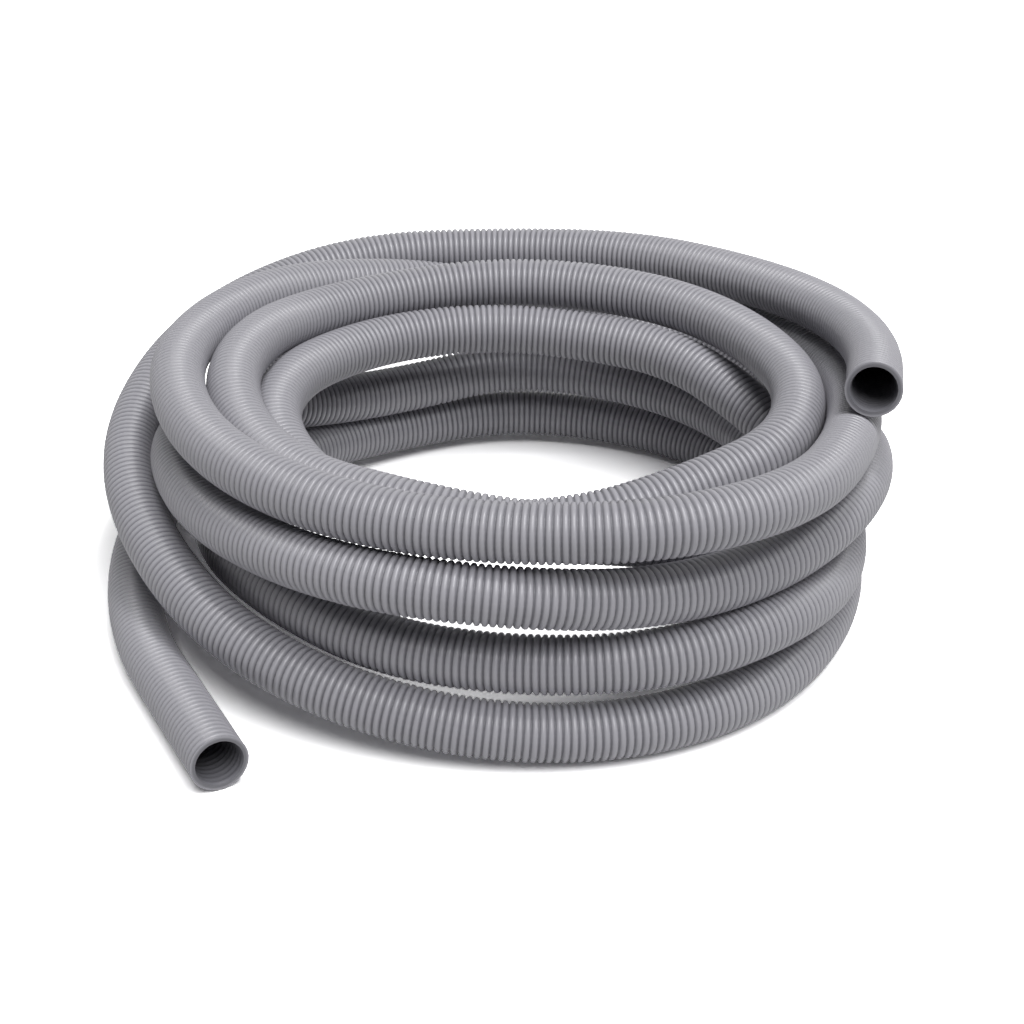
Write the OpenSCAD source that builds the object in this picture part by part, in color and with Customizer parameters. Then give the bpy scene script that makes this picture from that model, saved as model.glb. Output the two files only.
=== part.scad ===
// Corrugated conduit: one length of grey flexible conduit, wound by hand into a loose coil.
// Millimetres, +Z up. The coil lies on z = 0 and its footprint is centred on the Z axis.
// The coiled stretch is one swept tube over the rib crests. The straight stretch at each end has
// the real corrugation, because a coupler or a gland grips it there.

/* [Conduit] */

// Outside diameter over the rib crests
outside_diameter = 25; // [24:0.5:25]

// Depth of the wall, from the rib crests in to the clear bore
wall_depth = 2.8; // [2.6:0.1:3.2]

// Distance from one rib to the next
rib_pitch = 3.1; // [2.9:0.1:3.4]

// Length of the flat land on a rib's crest
crest_land = 1.4; // [1.1:0.1:1.5]

// Length of the flat bottom of a groove
groove_land = 0.5; // [0.3:0.1:0.7]

// Depth of the grooves round the outside
groove_depth = 1.2; // [0.8:0.1:1.4]

// Depth of the waves inside the bore
inner_wave = 0.6; // [0.3:0.1:0.8]

/* [Ends] */

// Ribs on the straight stretch at the upper end
upper_end_ribs = 8; // [6:1:9]

// Ribs on the straight stretch at the lower end
lower_end_ribs = 25; // [21:1:26]

/* [Hidden] */

$fn = 96;
outer_radius = outside_diameter / 2;
bore_radius = outer_radius - wall_depth;
flank = (rib_pitch - crest_land - groove_land) / 2;

// Sides of the swept tube, outside and in the bore
outer_sides = 16;
bore_sides = 8;

// The swept tube's skins lie this far inside the wall of the end stretches and reach this far
// into their first rib, so that the two join cleanly
skin_inset = 0.15;
lap = 0.4;

// Where the eye of the coil is, from the middle of the footprint
eye_place = [4, -19];

// The lay of the coil, from the upper end to the lower one. Each row is one turn, seen from above
// against the clock, with a station every 45 degrees round the eye: distance of the centreline
// from the eye's axis, and height of the tube's underside above the floor.
first_station = -10;
station_step = 45;
turns = [
  [[166, 108], [171, 95], [187, 84], [193, 79], [178, 59], [163, 30], [155, 7], [160, 1]],
  [[157, 2], [157, 0], [150, 4], [139, 6], [132, 22], [136, 36], [143, 31], [161, 33]],
  [[156, 30], [122, 62], [110, 69], [112, 70], [108, 72], [97, 64], [90, 62], [105, 71]],
  [[133, 81], [135, 85], [136, 85], [134, 84], [125, 92], [121, 86], [122, 84], [130, 66]],
  [[132, 19], [145, 27], [139, 35], [135, 31], [150, 56], [149, 65], [156, 70], [155, 58]],
  [[166, 58], [173, 37], [167, 60], [160, 86], [150, 97], [145, 95], [148, 94], [166, 95]],
  [[159, 83], [172, 69], [204, 58], [198, 29], [175, 7], [182, 0]],
];
stations = [for (turn = turns) each turn];
last = len(stations) - 1;

// Centreline points, and the direction in which the tube passes through each of them
points = [
  for (i = [0 : last])
    let (turned = first_station + i * station_step)
    [
      eye_place.x + stations[i][0] * cos(turned),
      eye_place.y + stations[i][0] * sin(turned),
      outer_radius + stations[i][1],
    ]
];

function unit(v) = v / norm(v);

// The heading at the far end of a circular arc, from its first heading and its chord
function far_heading(heading, chord) =
  2 * (heading * chord) * chord / (chord * chord) - heading;

inner_headings = [for (i = [1 : last - 1]) unit(points[i + 1] - points[i - 1])];
headings = [
  far_heading(inner_headings[0], points[1] - points[0]),
  each inner_headings,
  far_heading(inner_headings[last - 2], points[last] - points[last - 1]),
];

// Where the two arcs from one station to the next join
function joint(i) =
  let (
    chord = points[i + 1] - points[i],
    both = headings[i] + headings[i + 1],
    spread = 2 * (1 - headings[i] * headings[i + 1]),
    reach = spread < 1e-9
      ? chord * chord / (2 * (chord * both))
      : (sqrt((chord * both) ^ 2 + spread * (chord * chord)) - chord * both) / spread
  )
  (points[i] + points[i + 1] + reach * (headings[i] - headings[i + 1])) / 2;

// The first half of an arc as two places, each with its heading: the arc's start and its middle
function arc_places(start, heading, finish) =
  let (
    chord = finish - start,
    middle_heading = unit(chord),
    sideways = heading - (heading * middle_heading) * middle_heading,
    bulge = norm(chord) / 2 * tan(acos(heading * middle_heading) / 2)
  )
  [
    [start, heading],
    [start + chord / 2 + (norm(sideways) < 1e-9 ? [0, 0, 0] : bulge * unit(sideways)), middle_heading],
  ];

arcs = [
  for (i = [0 : last - 1])
    let (middle = joint(i))
    each [
      each arc_places(points[i], headings[i], middle),
      each arc_places(middle, far_heading(headings[i], middle - points[i]), points[i + 1]),
    ]
];
places = [
  [points[0] - lap * headings[0], headings[0]],
  for (k = [1 : len(arcs) - 1]) arcs[k],
  [points[last] + lap * headings[last], headings[last]],
];

// One ring of the swept tube, square to its heading
function ring(place, radius, sides) =
  let (side = unit(cross(place[1], [0, 0, 1])), top = cross(side, place[1]))
  [
    for (k = [0 : sides - 1])
      let (turned = 360 * k / sides)
      place[0] + radius * (cos(turned) * side + sin(turned) * top)
  ];

// The coiled stretch: an outer and an inner skin of rings, joined by a flat face at each end
module coiled_stretch() {
  rings = len(places);
  skin = rings * outer_sides;
  outer_skin = outer_radius - skin_inset;
  inner_skin = (bore_radius + skin_inset) / cos(180 / bore_sides);
  share = outer_sides / bore_sides;
  function outer(r, k) = r * outer_sides + k % outer_sides;
  function inner(r, k) = skin + r * bore_sides + k % bore_sides;
  polyhedron(
    points = [
      for (place = places) each ring(place, outer_skin, outer_sides),
      for (place = places) each ring(place, inner_skin, bore_sides),
    ],
    faces = [
      for (r = [0 : rings - 2], k = [0 : outer_sides - 1]) each [
        [outer(r, k), outer(r, k + 1), outer(r + 1, k + 1)],
        [outer(r, k), outer(r + 1, k + 1), outer(r + 1, k)],
      ],
      for (r = [0 : rings - 2], k = [0 : bore_sides - 1]) each [
        [inner(r, k), inner(r + 1, k + 1), inner(r, k + 1)],
        [inner(r, k), inner(r + 1, k), inner(r + 1, k + 1)],
      ],
      for (k = [0 : bore_sides - 1]) each [
        [
          inner(0, k),
          inner(0, k + 1),
          for (step = [share : -1 : 0]) outer(0, share * k + step),
        ],
        [
          inner(rings - 1, k + 1),
          inner(rings - 1, k),
          for (step = [0 : share]) outer(rings - 1, share * k + step),
        ],
      ],
    ]
  );
}

// One wave of the wall, from one crest's land to the next
function wave(rib, radius, depth) =
  let (z = rib * rib_pitch)
  [
    [radius, z + crest_land / 2],
    [radius - depth, z + crest_land / 2 + flank],
    [radius - depth, z + crest_land / 2 + flank + groove_land],
    [radius, z + rib_pitch - crest_land / 2],
  ];

// A straight stretch with its real corrugation, from the origin up the Z axis, cut flat at a crest.
// Inside the first crest the wall is solid, where the swept tube laps into it.
module ribbed_stretch(ribs) {
  inner_radius = bore_radius + inner_wave;
  inside = [for (rib = [0 : ribs - 1]) each wave(rib, inner_radius, inner_wave)];
  rotate_extrude()
    polygon([
      [bore_radius, 0],
      [outer_radius, 0],
      for (rib = [0 : ribs - 1]) each wave(rib, outer_radius, groove_depth),
      [outer_radius, ribs * rib_pitch],
      [inner_radius, ribs * rib_pitch],
      for (i = [len(inside) - 1 : -1 : 2]) inside[i],
    ]);
}

// A straight stretch that leaves the coil at a place
module end_stretch(place, heading, ribs) {
  side = unit(cross(heading, [0, 0, 1]));
  top = cross(side, heading);
  multmatrix([
    [side.x, -top.x, heading.x, place.x],
    [side.y, -top.y, heading.y, place.y],
    [side.z, -top.z, heading.z, place.z],
  ])
    ribbed_stretch(ribs);
}

// The whole conduit, one piece of stock
module conduit() {
  color("#8f8f97")
    union() {
      coiled_stretch();
      end_stretch(points[0], -headings[0], upper_end_ribs);
      end_stretch(points[last], headings[last], lower_end_ribs);
    }
}

conduit();
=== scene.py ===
"""Corrugated conduit: the finished look of a loose coil of grey flexible conduit.

The conduit is one tube. Its centreline is the same lay as in the part's source, in metres, and
its wall is spun straight, rib by rib, and then bent along that lay.
"""

import logging
import math
from dataclasses import dataclass, field
from enum import Enum

import bmesh
import bpy
import numpy as np
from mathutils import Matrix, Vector


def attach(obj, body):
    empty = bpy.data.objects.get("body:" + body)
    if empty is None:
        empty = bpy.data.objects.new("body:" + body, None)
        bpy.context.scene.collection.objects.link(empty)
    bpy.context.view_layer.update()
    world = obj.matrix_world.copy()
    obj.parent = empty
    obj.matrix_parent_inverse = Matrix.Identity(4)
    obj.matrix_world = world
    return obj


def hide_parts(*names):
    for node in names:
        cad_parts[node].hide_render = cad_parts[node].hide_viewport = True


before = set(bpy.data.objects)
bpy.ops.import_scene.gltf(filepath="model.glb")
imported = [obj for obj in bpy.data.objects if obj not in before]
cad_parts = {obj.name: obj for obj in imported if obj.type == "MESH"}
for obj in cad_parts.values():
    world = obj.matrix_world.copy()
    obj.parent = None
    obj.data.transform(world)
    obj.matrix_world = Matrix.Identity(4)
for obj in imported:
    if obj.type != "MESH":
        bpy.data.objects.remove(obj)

logging.basicConfig(level=logging.INFO, format="%(message)s")
log = logging.getLogger("conduit")

MM = 0.001
CAD_NODE = "conduit"
SLOT = "grey_pvc"


class Bore(Enum):
    """How much of a stretch's bore can be seen."""

    OPEN_AT_START = "open at start"
    HIDDEN = "hidden"
    OPEN_AT_END = "open at end"


def linear(hex_colour: str) -> tuple[float, float, float, float]:
    """Turns an sRGB hex colour into the linear colour that a shader takes.

    Args:
        hex_colour: Six hex digits after a hash sign.

    Returns:
        Red, green, blue and an alpha of 1.
    """
    parts = [int(hex_colour[i : i + 2], 16) / 255 for i in (1, 3, 5)]
    red, green, blue = (p / 12.92 if p <= 0.04045 else ((p + 0.055) / 1.055) ** 2.4 for p in parts)
    return red, green, blue, 1.0


def add_node(
    material: bpy.types.Material | bpy.types.World,
    kind: str,
    settings: dict[str, object] | None = None,
    inputs: dict[str | int, object] | None = None,
) -> bpy.types.Node:
    """Adds one shader node.

    Args:
        material: The material or world whose tree takes the node.
        kind: The node's type name.
        settings: Attributes to set on the node.
        inputs: Values, or sockets to link from, for the node's inputs.

    Returns:
        The new node.
    """
    tree = material.node_tree
    node = tree.nodes.new(kind)
    for name, value in (settings or {}).items():
        setattr(node, name, value)
    for name, value in (inputs or {}).items():
        if isinstance(value, bpy.types.NodeSocket):
            tree.links.new(value, node.inputs[name])
        else:
            node.inputs[name].default_value = value
    return node


@dataclass(frozen=True)
class Section:
    """The wall of the conduit, in metres."""

    outer_radius: float = 12.5 * MM
    bore_radius: float = 9.7 * MM
    rib_pitch: float = 3.1 * MM
    groove_depth: float = 1.3 * MM
    inner_wave: float = 0.6 * MM
    sides: int = 26

    def outside_wave(self) -> list[tuple[float, float]]:
        """One wave of the outside, from a crest's middle.

        Returns:
            Share of a rib's pitch and depth under the crest, for each ring.
        """
        return [
            (0.16, 0.08 * self.groove_depth),
            (0.33, 0.40 * self.groove_depth),
            (0.44, 1.0 * self.groove_depth),
            (0.56, 1.0 * self.groove_depth),
            (0.67, 0.40 * self.groove_depth),
            (0.84, 0.08 * self.groove_depth),
        ]

    def bore_wave(self) -> list[tuple[float, float]]:
        """One wave of the bore, from behind a crest's middle.

        Returns:
            Share of a rib's pitch and height into the bore, for each ring.
        """
        return [
            (0.0, 0.0),
            (0.30, 0.35 * self.inner_wave),
            (0.50, 1.0 * self.inner_wave),
            (0.70, 0.35 * self.inner_wave),
        ]


@dataclass(frozen=True)
class Lay:
    """The centreline of the coil: circular arcs through stations round the eye, then straight ends.

    Each station is the distance from the eye's axis and the height of the tube's underside above
    the floor, in millimetres, one every 45 degrees against the clock from the upper end.
    """

    eye_place: tuple[float, float] = (4, -19)
    first_station: float = -10
    station_step: float = 45
    upper_straight: float = 8 * 3.1 * MM
    lower_straight: float = 25 * 3.1 * MM
    tube_radius: float = 12.5
    turns: tuple[tuple[tuple[float, float], ...], ...] = (
        ((166, 108), (171, 95), (187, 84), (193, 79), (178, 59), (163, 30), (155, 7), (160, 1)),
        ((157, 2), (157, 0), (150, 4), (139, 6), (132, 22), (136, 36), (143, 31), (161, 33)),
        ((156, 30), (122, 62), (110, 69), (112, 70), (108, 72), (97, 64), (90, 62), (105, 71)),
        ((133, 81), (135, 85), (136, 85), (134, 84), (125, 92), (121, 86), (122, 84), (130, 66)),
        ((132, 19), (145, 27), (139, 35), (135, 31), (150, 56), (149, 65), (156, 70), (155, 58)),
        ((166, 58), (173, 37), (167, 60), (160, 86), (150, 97), (145, 95), (148, 94), (166, 95)),
        ((159, 83), (172, 69), (204, 58), (198, 29), (175, 7), (182, 0)),
    )
    arcs: dict[str, np.ndarray] = field(init=False, repr=False)

    def __post_init__(self) -> None:
        """Works out the arcs once."""
        object.__setattr__(self, "arcs", self._arcs())

    def _points(self) -> np.ndarray:
        """The stations as points in the row frame, in metres."""
        stations = np.array([s for turn in self.turns for s in turn], float)
        turned = np.radians(self.first_station + self.station_step * np.arange(len(stations)))
        x = self.eye_place[0] + stations[:, 0] * np.cos(turned)
        y = self.eye_place[1] + stations[:, 0] * np.sin(turned)
        return np.stack([x, y, self.tube_radius + stations[:, 1]], axis=1) * MM

    def _arcs(self) -> dict[str, np.ndarray]:
        """Two circular arcs from each station to the next, and the straight ends.

        Returns:
            Start, heading, sideways direction, radius, length and first distance of each arc.
        """
        points = self._points()
        headings = np.empty_like(points)
        headings[1:-1] = points[2:] - points[:-2]
        headings[1:-1] /= np.linalg.norm(headings[1:-1], axis=1, keepdims=True)
        headings[0] = self._far_heading(headings[1:2], (points[1] - points[0])[None])[0]
        headings[-1] = self._far_heading(headings[-2:-1], (points[-1] - points[-2])[None])[0]
        chord = points[1:] - points[:-1]
        both = headings[1:] + headings[:-1]
        spread = 2 * (1 - (headings[1:] * headings[:-1]).sum(axis=1))
        along = (chord * both).sum(axis=1)
        square = (chord * chord).sum(axis=1)
        reach = (np.sqrt(along**2 + spread * square) - along) / spread
        apart = headings[:-1] - headings[1:]
        joints = (points[:-1] + points[1:] + reach[:, None] * apart) / 2
        middle = self._far_heading(headings[:-1], joints - points[:-1])
        count = 2 * len(chord)
        starts, first, finish = (np.empty((count, 3)) for _ in range(3))
        starts[0::2], first[0::2], finish[0::2] = points[:-1], headings[:-1], joints
        starts[1::2], first[1::2], finish[1::2] = joints, middle, points[1:]
        reached = finish - starts
        ahead = (reached * first).sum(axis=1)
        side = reached - ahead[:, None] * first
        off = np.maximum(np.linalg.norm(side, axis=1), 1e-12)
        radius = (reached * reached).sum(axis=1) / (2 * off)
        length = radius * 2 * np.arctan2(off, ahead)
        straight = 1e6
        starts = np.vstack([points[0] - headings[0] * self.upper_straight, starts, points[-1]])
        first = np.vstack([headings[0], first, headings[-1]])
        level = np.cross(headings[[0, -1]], (0, 0, 1))
        side = np.vstack([level[:1], side / off[:, None], level[1:]])
        radius = np.concatenate([[straight], radius, [straight]])
        length = np.concatenate([[self.upper_straight], length, [self.lower_straight]])
        begins = np.concatenate([[0.0], np.cumsum(length)])
        return {
            "start": starts,
            "heading": first,
            "side": side,
            "radius": radius,
            "length": length,
            "begins": begins,
        }

    @staticmethod
    def _far_heading(heading: np.ndarray, chord: np.ndarray) -> np.ndarray:
        """The headings at the far ends of arcs.

        Args:
            heading: The arcs' first headings.
            chord: The arcs' chords.

        Returns:
            The last headings.
        """
        share = 2 * (heading * chord).sum(axis=1) / (chord * chord).sum(axis=1)
        return share[:, None] * chord - heading

    @property
    def length(self) -> float:
        """The conduit's real length, along its centreline."""
        return float(self.arcs["begins"][-1])

    def place(self, distance: np.ndarray) -> tuple[np.ndarray, np.ndarray]:
        """Where the centreline is and how it heads.

        Args:
            distance: Distances along the conduit from its upper end.

        Returns:
            The points and the unit headings there.
        """
        arcs = self.arcs
        last = len(arcs["radius"]) - 1
        index = np.clip(np.searchsorted(arcs["begins"], distance, side="right") - 1, 0, last)
        turned = (distance - arcs["begins"][index]) / arcs["radius"][index]
        heading, side = arcs["heading"][index], arcs["side"][index]
        ahead = (arcs["radius"][index] * np.sin(turned))[:, None]
        aside = (2 * arcs["radius"][index] * np.sin(turned / 2) ** 2)[:, None]
        points = arcs["start"][index] + ahead * heading + aside * side
        headings = np.cos(turned)[:, None] * heading + np.sin(turned)[:, None] * side
        return points, headings


@dataclass(frozen=True)
class GreyPvc:
    """Extruded flexible PVC, grey: an even colour through the wall, with a satin skin.

    The moulding blocks leave it smooth, handling leaves faint pale rub marks on the crests, and
    the bottoms of the grooves are darkened with painted shade.
    """

    colour: str = "#9f9ea5"
    paler: str = "#a8a7ad"
    dust: str = "#b8b7b8"
    # painted shade for the bottoms of the grooves
    groove_shade: str = "#5a5a60"
    ior: float = 1.53
    roughness: float = 0.34

    def build(self) -> bpy.types.Material:
        """Makes the material.

        Returns:
            The finished material.
        """
        material = bpy.data.materials.new(SLOT)
        material.use_nodes = True
        material.node_tree.nodes.clear()
        # Coordinates of the straight tube, so that every mark follows the conduit round the coil
        straight = add_node(material, "ShaderNodeAttribute", {"attribute_name": "straight"})
        place = straight.outputs["Vector"]
        # Patches of slightly different shade, about 60 mm across
        patches = add_node(
            material,
            "ShaderNodeTexNoise",
            inputs={"Vector": place, "Scale": 1 / (60 * MM), "Detail": 3.0, "Roughness": 0.55},
        )
        # Fine rub marks, about 2 mm
        rubs = add_node(
            material,
            "ShaderNodeTexNoise",
            inputs={"Vector": place, "Scale": 1 / (2 * MM), "Detail": 4.0, "Roughness": 0.7},
        )
        shade = add_node(
            material,
            "ShaderNodeMix",
            {"data_type": "RGBA"},
            {
                0: patches.outputs["Fac"],
                6: linear(self.colour),
                7: linear(self.paler),
            },
        )
        rub_mask = add_node(
            material,
            "ShaderNodeMapRange",
            inputs={0: rubs.outputs["Fac"], 1: 0.55, 2: 0.85, 3: 0.0, 4: 0.35},
        )
        worn = add_node(
            material,
            "ShaderNodeMix",
            {"data_type": "RGBA"},
            {
                0: rub_mask.outputs["Result"],
                6: shade.outputs[2],
                7: linear(self.dust),
            },
        )
        # Distance from the conduit's axis: painted shade darkens the bottoms of the grooves
        across = add_node(
            material,
            "ShaderNodeVectorMath",
            {"operation": "MULTIPLY"},
            {0: place, 1: (1, 1, 0)},
        )
        radius = add_node(
            material, "ShaderNodeVectorMath", {"operation": "LENGTH"}, {0: across.outputs[0]}
        )
        groove_shade_mask = add_node(
            material,
            "ShaderNodeMapRange",
            inputs={0: radius.outputs["Value"], 1: 11.2 * MM, 2: 12.2 * MM, 3: 0.75, 4: 0.0},
        )
        # painted shade: the colour grows darker towards the bottoms of the grooves
        groove_shaded = add_node(
            material,
            "ShaderNodeMix",
            {"data_type": "RGBA"},
            {0: groove_shade_mask.outputs["Result"], 6: worn.outputs[2], 7: linear(self.groove_shade)},
        )
        gloss = add_node(
            material,
            "ShaderNodeMapRange",
            inputs={
                0: rubs.outputs["Fac"],
                1: 0.3,
                2: 0.7,
                3: self.roughness - 0.05,
                4: self.roughness + 0.08,
            },
        )
        skin = add_node(
            material,
            "ShaderNodeBump",
            inputs={"Height": rubs.outputs["Fac"], "Strength": 0.12, "Distance": 0.15 * MM},
        )
        shader = add_node(
            material,
            "ShaderNodeBsdfPrincipled",
            inputs={
                "Base Color": groove_shaded.outputs[2],
                "Roughness": gloss.outputs["Result"],
                "IOR": self.ior,
                "Normal": skin.outputs["Normal"],
            },
        )
        add_node(
            material, "ShaderNodeOutputMaterial", inputs={"Surface": shader.outputs["BSDF"]}
        )
        return material


@dataclass
class Stretch:
    """One stretch of the conduit, from the middle of one crest to the middle of another."""

    name: str
    lay: Lay
    section: Section
    crests: np.ndarray
    bore: Bore

    WAVED_RIBS: int = 60
    PLAIN_STEP: int = 4

    def _outside(self) -> list[tuple[float, float]]:
        """Radius and distance of each ring on the outside."""
        rings = [(self.section.outer_radius, self.crests[0])]
        for begin, end in zip(self.crests[:-1], self.crests[1:]):
            for share, depth in self.section.outside_wave():
                rings.append((self.section.outer_radius - depth, begin + share * (end - begin)))
        rings.append((self.section.outer_radius, self.crests[-1]))
        return rings

    def _inside(self) -> list[tuple[float, float]]:
        """Radius and distance of each ring in the bore, waved where the bore can be seen."""
        count = len(self.crests) - 1
        hollow = self.section.bore_radius + self.section.inner_wave
        rings: list[tuple[float, float]] = []
        rib = 0
        while rib < count:
            near_start = self.bore is Bore.OPEN_AT_START and rib < self.WAVED_RIBS
            near_end = self.bore is Bore.OPEN_AT_END and rib >= count - self.WAVED_RIBS
            begin = self.crests[rib]
            if near_start or near_end:
                step = self.crests[rib + 1] - begin
                for share, height in self.section.bore_wave():
                    rings.append((hollow - height, begin + share * step))
                rib += 1
            else:
                rings.append((hollow, begin))
                rib += min(self.PLAIN_STEP, count - rib)
        rings.append((hollow, self.crests[-1]))
        return rings

    def _spun(self) -> bmesh.types.BMesh:
        """Spins the straight stretch round the Z axis.

        Returns:
            A closed shell with its distances along the conduit as Z.
        """
        shape = bmesh.new()
        rings = self._outside() + self._inside()[::-1]
        corners = [shape.verts.new((radius, 0, along)) for radius, along in rings]
        edges = [
            shape.edges.new((one, other))
            for one, other in zip(corners, corners[1:] + corners[:1])
        ]
        bmesh.ops.spin(
            shape,
            geom=corners + edges,
            cent=(0, 0, 0),
            axis=(0, 0, 1),
            angle=2 * math.pi,
            steps=self.section.sides,
            use_merge=True,
        )
        bmesh.ops.recalc_face_normals(shape, faces=shape.faces)
        return shape

    def build(self) -> bpy.types.Object:
        """Makes the stretch, bent along the lay.

        Returns:
            The stretch's object, with its place in its mesh.
        """
        shape = self._spun()
        ends = (float(self.crests[0]), float(self.crests[-1]))
        for face in shape.faces:
            face.smooth = True
            if any(all(abs(v.co.z - end) < 1e-7 for v in face.verts) for end in ends):
                for edge in face.edges:
                    edge.smooth = False
        mesh = bpy.data.meshes.new(self.name)
        shape.to_mesh(mesh)
        shape.free()
        co = np.empty(len(mesh.vertices) * 3)
        mesh.vertices.foreach_get("co", co)
        co = co.reshape(-1, 3)
        straight = mesh.attributes.new("straight", "FLOAT_VECTOR", "POINT")
        straight.data.foreach_set("vector", co.astype(np.float32).ravel())
        mesh.vertices.foreach_set("co", self._bent(co).astype(np.float32).ravel())
        mesh.update()
        stretch = bpy.data.objects.new(self.name, mesh)
        bpy.context.scene.collection.objects.link(stretch)
        return stretch

    def _bent(self, co: np.ndarray) -> np.ndarray:
        """Moves the straight stretch's points to their places in the coil.

        Args:
            co: Points round the Z axis, with their distance along the conduit as Z.

        Returns:
            The points in the row frame.
        """
        points, headings = self.lay.place(co[:, 2])
        side = np.cross(headings, (0.0, 0.0, 1.0))
        side /= np.linalg.norm(side, axis=1, keepdims=True)
        top = np.cross(side, headings)
        return points + co[:, :1] * side + co[:, 1:2] * top

    def path(self, step: float = 8 * MM) -> list[list[float]]:
        """The centreline of the stretch.

        Args:
            step: Largest distance from one point to the next.

        Returns:
            Points in the row frame.
        """
        count = int(math.ceil((self.crests[-1] - self.crests[0]) / step)) + 1
        points, _ = self.lay.place(np.linspace(self.crests[0], self.crests[-1], count))
        return points.tolist()

    def dress(self, stretch: bpy.types.Object, material: bpy.types.Material) -> None:
        """Args:
            stretch: The object that build made.
            material: The conduit's material.
        """
        stretch.data.materials.append(material)
        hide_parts(CAD_NODE)
        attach(stretch, "root")
        path = self.path()


@dataclass
class Conduit:
    """The whole conduit, in stretches that each stay light enough to export."""

    lay: Lay = field(default_factory=Lay)
    section: Section = field(default_factory=Section)
    finish: GreyPvc = field(default_factory=GreyPvc)
    stretches: int = 5

    def _crests(self) -> np.ndarray:
        """Distances of all the crests, with the real pitch on the straight ends."""
        pitch = self.section.rib_pitch
        upper, lower = self.lay.upper_straight, self.lay.lower_straight
        coiled = self.lay.length - upper - lower
        ribs = round(coiled / pitch)
        return np.concatenate(
            [
                np.linspace(0, upper, round(upper / pitch) + 1)[:-1],
                upper + np.linspace(0, coiled, ribs + 1)[:-1],
                upper + coiled + np.linspace(0, lower, round(lower / pitch) + 1),
            ]
        )

    def build(self) -> list[bpy.types.Object]:
        """Builds and dresses every stretch, from the upper end to the lower one.

        Returns:
            The stretches' objects.
        """
        crests = self._crests()
        material = self.finish.build()
        marks = np.linspace(0, len(crests) - 1, self.stretches + 1).round().astype(int)
        made = []
        for number, (begin, end) in enumerate(zip(marks[:-1], marks[1:]), start=1):
            bore = Bore.HIDDEN
            if number == 1:
                bore = Bore.OPEN_AT_START
            elif number == self.stretches:
                bore = Bore.OPEN_AT_END
            piece = Stretch(
                f"conduit_stretch_{number}",
                self.lay,
                self.section,
                crests[begin : end + 1],
                bore,
            )
            stretch = piece.build()
            piece.dress(stretch, material)
            made.append(stretch)
            log.info(
                "%s: %d ribs, %.3f m, %d faces",
                piece.name,
                end - begin,
                crests[end] - crests[begin],
                len(stretch.data.polygons),
            )
        log.info("conduit: %.3f m long, %d ribs", self.lay.length, len(crests) - 1)
        return made


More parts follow.
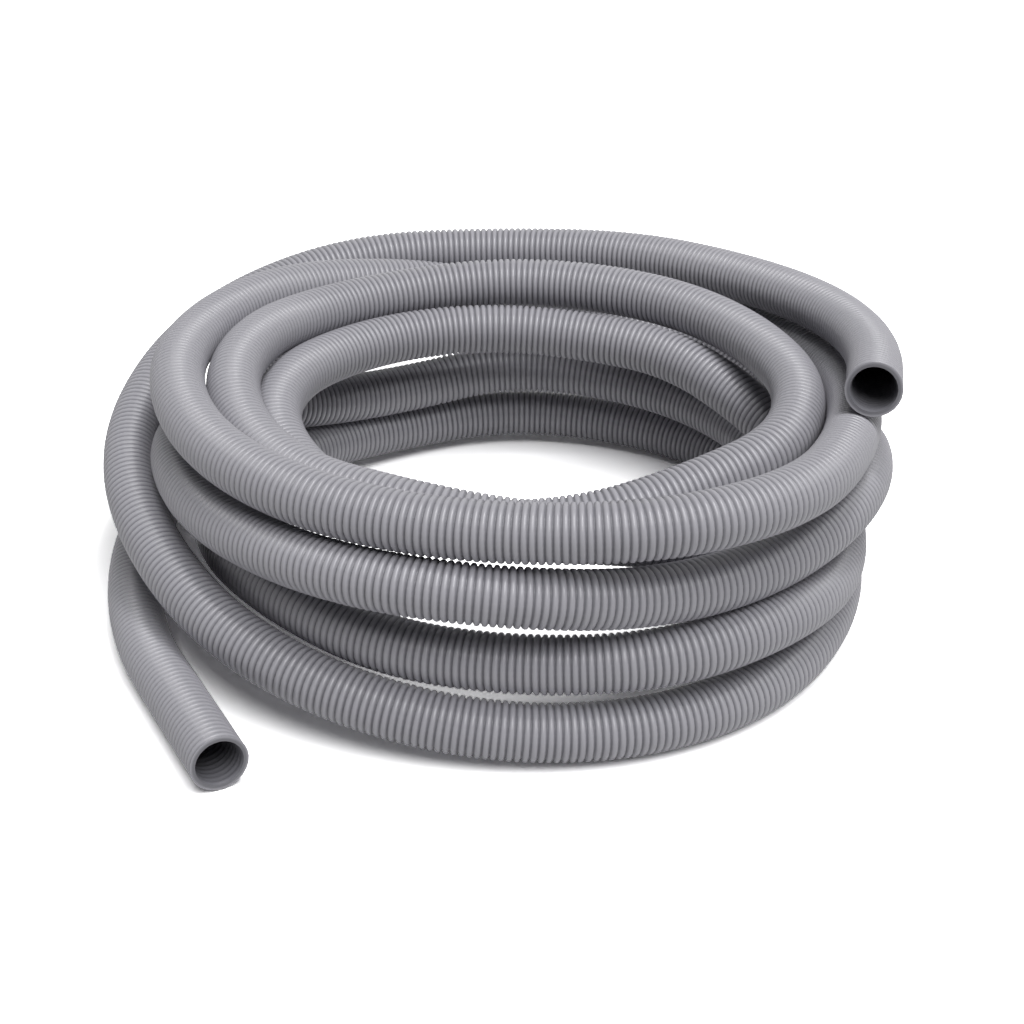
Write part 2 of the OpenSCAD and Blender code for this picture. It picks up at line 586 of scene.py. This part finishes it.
@dataclass(frozen=True)
class Studio:
    """Pale floor, soft light and camera."""

    eye: tuple[float, float, float] = (7.5 * MM, -822.5 * MM, 467.0 * MM)
    down: float = 0.4938
    lens: float = 67.47
    floor_half: float = 6.0
    white: str = "#ffffff"
    grey: str = "#dcdcdc"
    exposed: float = 2.3

    def camera(self) -> None:
        """Sets the camera at the viewing angle, looking down on the coil from in front."""
        data = bpy.data.cameras.new("camera")
        data.lens = self.lens
        data.sensor_width = 36.0
        data.clip_start, data.clip_end = 0.01, 100
        camera = bpy.data.objects.new("camera", data)
        camera.location = self.eye
        camera.rotation_euler = (math.pi / 2 - self.down, 0, 0)
        bpy.context.scene.collection.objects.link(camera)
        bpy.context.scene.camera = camera

    def _seen_directly(self, holder: bpy.types.Material | bpy.types.World) -> bpy.types.NodeSocket:
        """A value of 1 for camera, glossy and transmission rays.

        Args:
            holder: The material or world that takes the nodes.

        Returns:
            The socket with that value.
        """
        ray = add_node(holder, "ShaderNodeLightPath")
        first = add_node(
            holder,
            "ShaderNodeMath",
            {"operation": "MAXIMUM"},
            {0: ray.outputs["Is Camera Ray"], 1: ray.outputs["Is Glossy Ray"]},
        )
        both = add_node(
            holder,
            "ShaderNodeMath",
            {"operation": "MAXIMUM"},
            {0: first.outputs[0], 1: ray.outputs["Is Transmission Ray"]},
        )
        return both.outputs[0]

    def floor(self) -> None:
        """Lays a white paper floor that keeps the coil's soft shadow."""
        shape = bmesh.new()
        bmesh.ops.create_grid(shape, x_segments=1, y_segments=1, size=self.floor_half)
        mesh = bpy.data.meshes.new("floor")
        shape.to_mesh(mesh)
        shape.free()
        floor = bpy.data.objects.new("floor", mesh)
        bpy.context.scene.collection.objects.link(floor)
        paper = bpy.data.materials.new("white_paper")
        paper.use_nodes = True
        paper.node_tree.nodes.clear()
        seen = self._seen_directly(paper)
        shade = add_node(
            paper,
            "ShaderNodeMix",
            {"data_type": "RGBA"},
            {0: seen, 6: linear(self.grey), 7: linear(self.white)},
        )
        ray = add_node(paper, "ShaderNodeLightPath")
        gain = add_node(
            paper,
            "ShaderNodeMapRange",
            inputs={0: ray.outputs["Is Camera Ray"], 1: 0.0, 2: 1.0, 3: 1.0, 4: self.exposed},
        )
        bright = add_node(
            paper,
            "ShaderNodeVectorMath",
            {"operation": "SCALE"},
            {0: shade.outputs[2], 3: gain.outputs["Result"]},
        )
        matt = add_node(paper, "ShaderNodeBsdfDiffuse", inputs={"Color": bright.outputs[0]})
        add_node(paper, "ShaderNodeOutputMaterial", inputs={"Surface": matt.outputs[0]})
        mesh.materials.append(paper)

    def _softbox(
        self, name: str, place: tuple[float, float, float], size: float, power: float
    ) -> None:
        """Adds one square softbox that faces the coil.

        Args:
            name: The lamp's name.
            place: Where it stands, in metres.
            size: Length of its side.
            power: Its power, in watts.
        """
        data = bpy.data.lights.new(name, "AREA")
        data.shape, data.size, data.energy = "SQUARE", size, power
        lamp = bpy.data.objects.new(name, data)
        lamp.location = place
        aim = Vector((0, 0, 0.06)) - Vector(place)
        lamp.rotation_euler = aim.to_track_quat("-Z", "Y").to_euler()
        bpy.context.scene.collection.objects.link(lamp)

    def light(self) -> None:
        """Lights the coil from above and a little from in front, as in a tent of white cloth."""
        world = bpy.data.worlds.new("studio")
        bpy.context.scene.world = world
        world.use_nodes = True
        world.node_tree.nodes.clear()
        strength = add_node(
            world,
            "ShaderNodeMapRange",
            inputs={0: self._seen_directly(world), 1: 0.0, 2: 1.0, 3: 0.06, 4: 1.0},
        )
        sky = add_node(
            world,
            "ShaderNodeBackground",
            inputs={"Color": (1, 1, 1, 1), "Strength": strength.outputs["Result"]},
        )
        add_node(world, "ShaderNodeOutputWorld", inputs={"Surface": sky.outputs[0]})
        data = bpy.data.lights.new("tent", "SUN")
        data.energy, data.angle = 2.15, math.radians(40)
        tent = bpy.data.objects.new("tent", data)
        tent.rotation_euler = (math.radians(26), math.radians(12), 0)
        bpy.context.scene.collection.objects.link(tent)
        self._softbox("key", (0.35, -0.2, 1.95), 0.35, 13)

    def build(self) -> None:
        """Sets up everything round the coil but the camera."""
        scene = bpy.context.scene
        scene.view_settings.view_transform = "Standard"
        self.floor()
        self.light()
        log.info("studio: floor, softboxes and camera")


def corners(box: tuple[Vector, Vector]) -> list[list[float]]:
    """A box's two corners as plain lists."""
    return [list(box[0]), list(box[1])]


def main() -> None:
    """Builds the scene."""
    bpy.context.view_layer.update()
    studio = Studio()
    studio.camera()
    Conduit().build()
    studio.build()
    bpy.context.view_layer.update()


if __name__ == "__main__":
    main()
